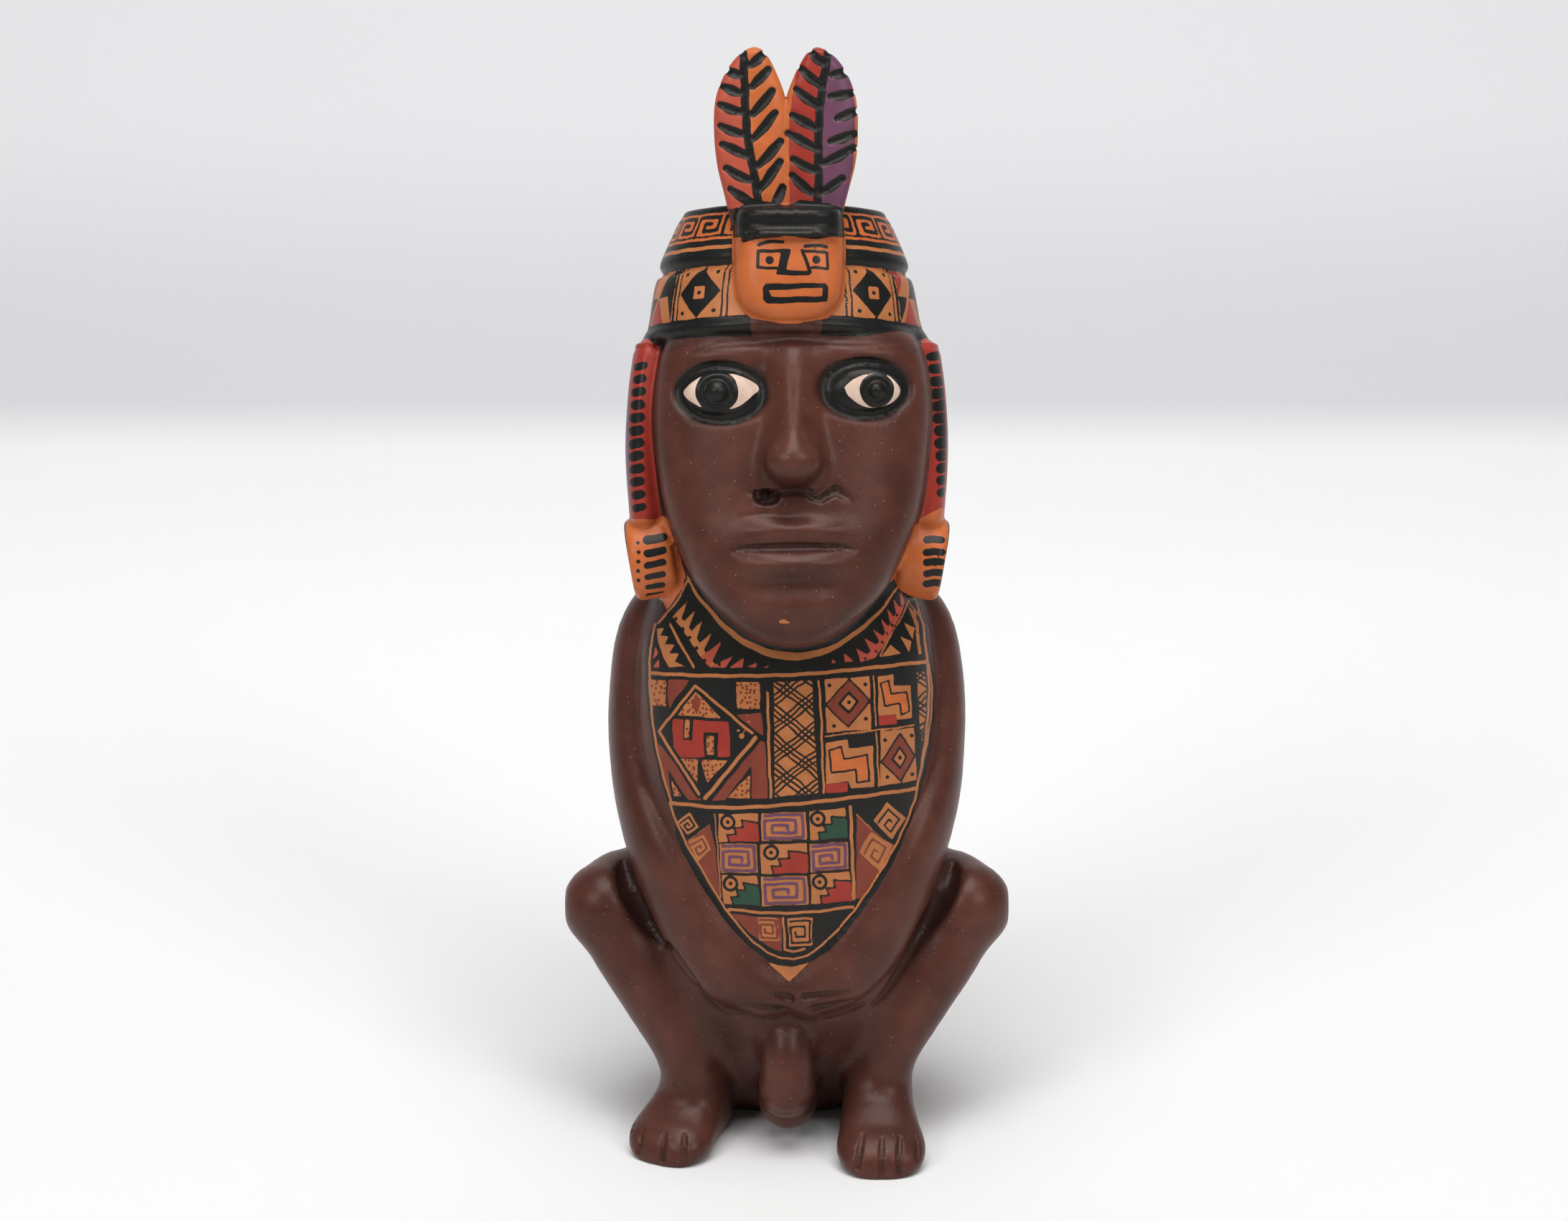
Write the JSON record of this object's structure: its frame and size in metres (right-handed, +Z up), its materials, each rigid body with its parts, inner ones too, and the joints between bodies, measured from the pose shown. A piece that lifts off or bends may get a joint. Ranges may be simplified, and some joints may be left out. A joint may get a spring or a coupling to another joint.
{
  "type": "terracotta statuette",
  "caption": "Painted terracotta figure seated with knees apart and hands on the belly, in a banded hat with a small mask and feathers and a patterned bib.",
  "frame": {"origin": "centre of the underside of the figure's bounding box, on the surface that it stands on", "axes": "+Z up, the face looks along -Y, and +X is to the right as one faces the figure"},
  "size_m": [0.0904, 0.0668, 0.2204],
  "materials": {
    "terracotta": "burnished slip paint, satin"
  },
  "bodies": {
    "root": {"statuette": "terracotta"}
  },
  "joints": []
}
